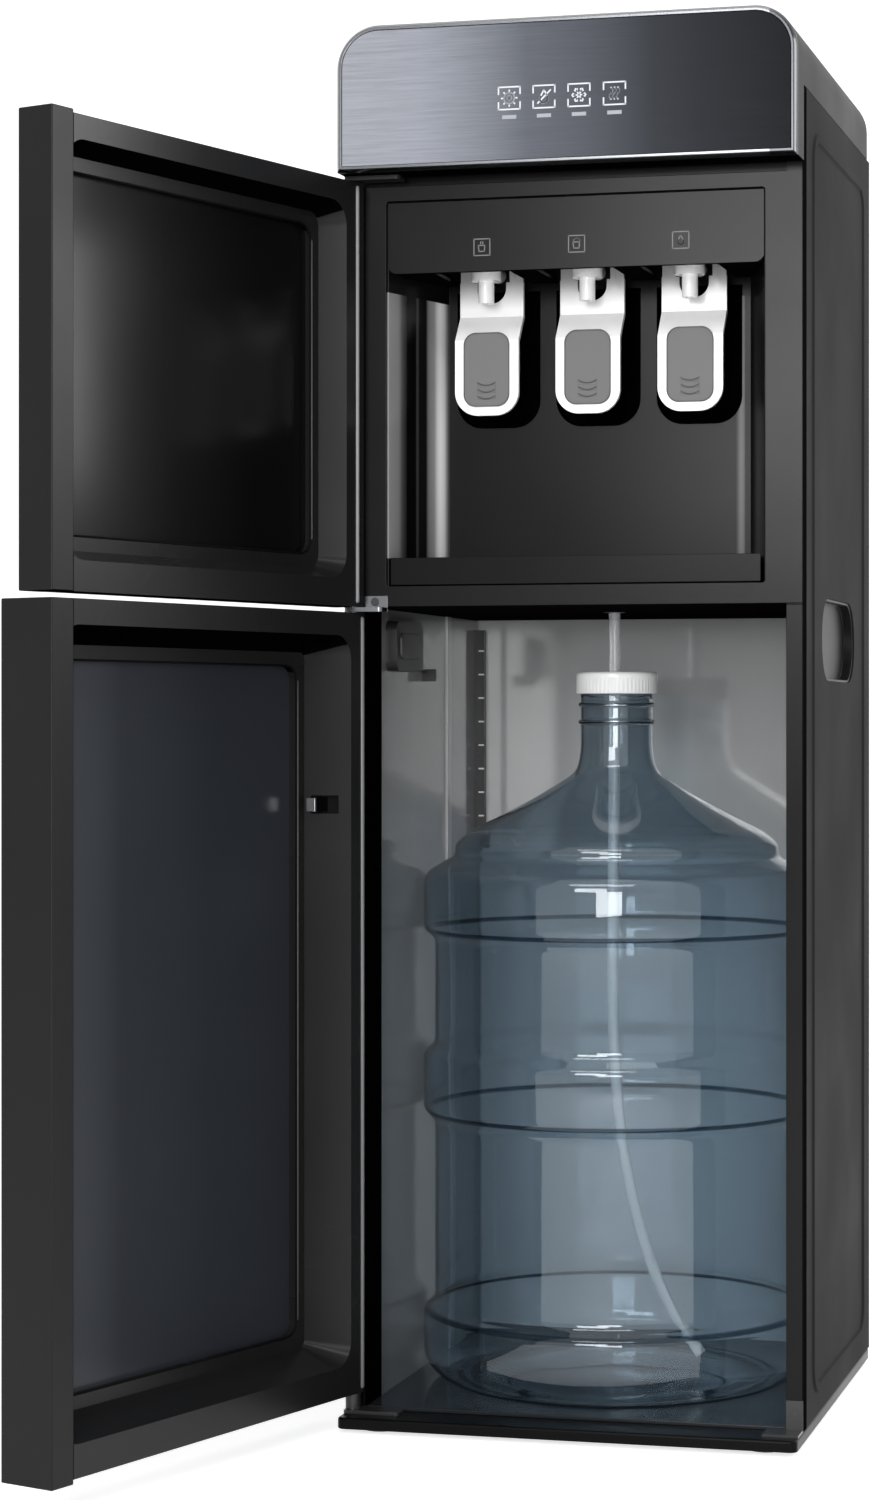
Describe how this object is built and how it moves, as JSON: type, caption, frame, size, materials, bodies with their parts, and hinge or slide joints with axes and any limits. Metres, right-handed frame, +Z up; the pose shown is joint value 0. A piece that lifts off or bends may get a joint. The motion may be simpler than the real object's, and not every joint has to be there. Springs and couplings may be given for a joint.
{
  "type": "bottom load water cooler",
  "caption": "Tall black bottom load water cooler with push levers over a drip tray, glass doors hung on the left, and a large bottle in its lower compartment.",
  "frame": {"origin": "on the floor plane under the middle of the cabinet and head", "axes": "+Z up, -Y out of the front, where the taps and the doors are, +X to the right as seen from the front"},
  "size_m": [0.4295, 0.5885, 0.92],
  "materials": {
    "satin_black_moulding": "satin",
    "gloss_black_moulding": "glossy",
    "black_steel_sheet": "satin paint",
    "grey_moulding": "satin",
    "brushed_face": "brushed sideways, dark",
    "bright_metal": "bright",
    "dark_grille": "satin",
    "white_moulding": "glossy",
    "soft_grey": "matte",
    "rubber_foot": "matte",
    "stainless": "satin",
    "cast_alloy": "extruded",
    "board_green": "satin",
    "clear_hose": "translucent",
    "black_glass": "mirror black",
    "clear_blue": "clear, tinted blue"
  },
  "bodies": {
    "cabinet": {"base_plate": "satin_black_moulding", "base_feet": "rubber_foot", "side_panel_left": "black_steel_sheet", "side_panel_right": "black_steel_sheet", "back_panel": "black_steel_sheet", "front_frame": "grey_moulding", "top_cover": "satin_black_moulding", "head_trim": "bright_metal", "head_panel": "brushed_face", "circuit_boards": "board_green", "bay_liner": "gloss_black_moulding", "tap_hood": "gloss_black_moulding", "compartment_liner": "gloss_black_moulding", "compartment_ceiling": "gloss_black_moulding", "compartment_floor": "satin_black_moulding", "grip_cups": "satin_black_moulding", "compartment_fittings": "dark_grille", "hose_gland": "dark_grille", "top_hinge": "bright_metal", "mid_hinge": "bright_metal", "bottom_brackets": "bright_metal", "tap_body_hot": "white_moulding", "tap_body_warm": "white_moulding", "tap_body_cold": "white_moulding", "hot_tank": "stainless", "cold_tank": "stainless", "cold_insulation": "white_moulding", "peltier_module": "white_moulding", "heat_sink": "cast_alloy", "fan_frame": "dark_grille", "pump": "dark_grille", "inner_hoses": "clear_hose", "rear_switch_panel": "dark_grille", "power_inlet": "dark_grille", "drain_cap": "dark_grille", "screws": "bright_metal"},
    "upper_door": {"upper_door_frame": "satin_black_moulding", "upper_door_glass": "black_glass", "upper_door_edge": "grey_moulding"},
    "lower_door": {"lower_door_frame": "satin_black_moulding", "lower_door_glass": "black_glass", "lower_door_edge": "grey_moulding", "door_catch": "bright_metal"},
    "tray": {"drip_tray": "gloss_black_moulding"},
    "grille": {"drip_grille": "dark_grille"},
    "bottle": {"water_bottle": "clear_blue", "bottle_cap": "white_moulding", "suction_tube": "clear_hose"},
    "heat_rocker": {"heat_switch": "dark_grille"},
    "cool_rocker": {"cool_switch": "dark_grille"},
    "fan": {"fan_rotor": "dark_grille"},
    "lever_hot": {"tap_lever_hot": "white_moulding", "lever_pad_hot": "soft_grey"},
    "stem_hot": {"valve_stem_hot": "stainless"},
    "lever_warm": {"tap_lever_warm": "white_moulding", "lever_pad_warm": "soft_grey"},
    "stem_warm": {"valve_stem_warm": "stainless"},
    "lever_cold": {"tap_lever_cold": "white_moulding", "lever_pad_cold": "soft_grey"},
    "stem_cold": {"valve_stem_cold": "stainless"}
  },
  "joints": [
    {"name": "upper_door_hinge", "type": "hinge", "parent": "cabinet", "child": "upper_door", "pos_m": [-0.1475, -0.1352, 0.682], "axis": [0, 0, -1], "range_deg": [-108.5, 0]},
    {"name": "lower_door_hinge", "type": "hinge", "parent": "cabinet", "child": "lower_door", "pos_m": [-0.1475, -0.1352, 0.279], "axis": [0, 0, -1], "range_deg": [-108.5, 0]},
    {"name": "tray_slide", "type": "slide", "parent": "cabinet", "child": "tray", "axis": [0, -1, 0], "range_m": [0, 0.1]},
    {"name": "grille_lift", "type": "slide", "parent": "tray", "child": "grille", "axis": [0, 0, 1], "range_m": [0, 0.03]},
    {"name": "bottle_slide", "type": "slide", "parent": "cabinet", "child": "bottle", "axis": [0, -1, 0], "range_m": [0, 0.3]},
    {"name": "heat_rocker_hinge", "type": "hinge", "parent": "cabinet", "child": "heat_rocker", "pos_m": [-0.119, 0.1542, 0.803], "axis": [1, 0, 0], "range_deg": [0, 16]},
    {"name": "cool_rocker_hinge", "type": "hinge", "parent": "cabinet", "child": "cool_rocker", "pos_m": [-0.089, 0.1542, 0.803], "axis": [1, 0, 0], "range_deg": [0, 16]},
    {"name": "fan_spin", "type": "hinge", "parent": "cabinet", "child": "fan", "pos_m": [0.076, 0.132, 0.6285], "axis": [0, 1, 0], "continuous": true},
    {"name": "lever_hot_hinge", "type": "hinge", "parent": "cabinet", "child": "lever_hot", "pos_m": [-0.0695, -0.0733, 0.78], "axis": [1, 0, 0], "range_deg": [0, 16], "stiffness_Nm_per_rad": 0.3, "springref_deg": -5.73},
    {"name": "stem_hot_slide", "type": "slide", "parent": "cabinet", "child": "stem_hot", "axis": [0, 0, -1], "range_m": [0, 0.0045]},
    {"name": "lever_warm_hinge", "type": "hinge", "parent": "cabinet", "child": "lever_warm", "pos_m": [0, -0.0733, 0.78], "axis": [1, 0, 0], "range_deg": [0, 16], "stiffness_Nm_per_rad": 0.3, "springref_deg": -5.73},
    {"name": "stem_warm_slide", "type": "slide", "parent": "cabinet", "child": "stem_warm", "axis": [0, 0, -1], "range_m": [0, 0.0045]},
    {"name": "lever_cold_hinge", "type": "hinge", "parent": "cabinet", "child": "lever_cold", "pos_m": [0.0695, -0.0733, 0.78], "axis": [1, 0, 0], "range_deg": [0, 16], "stiffness_Nm_per_rad": 0.3, "springref_deg": -5.73},
    {"name": "stem_cold_slide", "type": "slide", "parent": "cabinet", "child": "stem_cold", "axis": [0, 0, -1], "range_m": [0, 0.0045]}
  ],
  "couplings": [
    {"joint": "stem_hot_slide", "follows": "lever_hot_hinge", "m_per_rad": 0.0152},
    {"joint": "stem_warm_slide", "follows": "lever_warm_hinge", "m_per_rad": 0.0152},
    {"joint": "stem_cold_slide", "follows": "lever_cold_hinge", "m_per_rad": 0.0152}
  ]
}
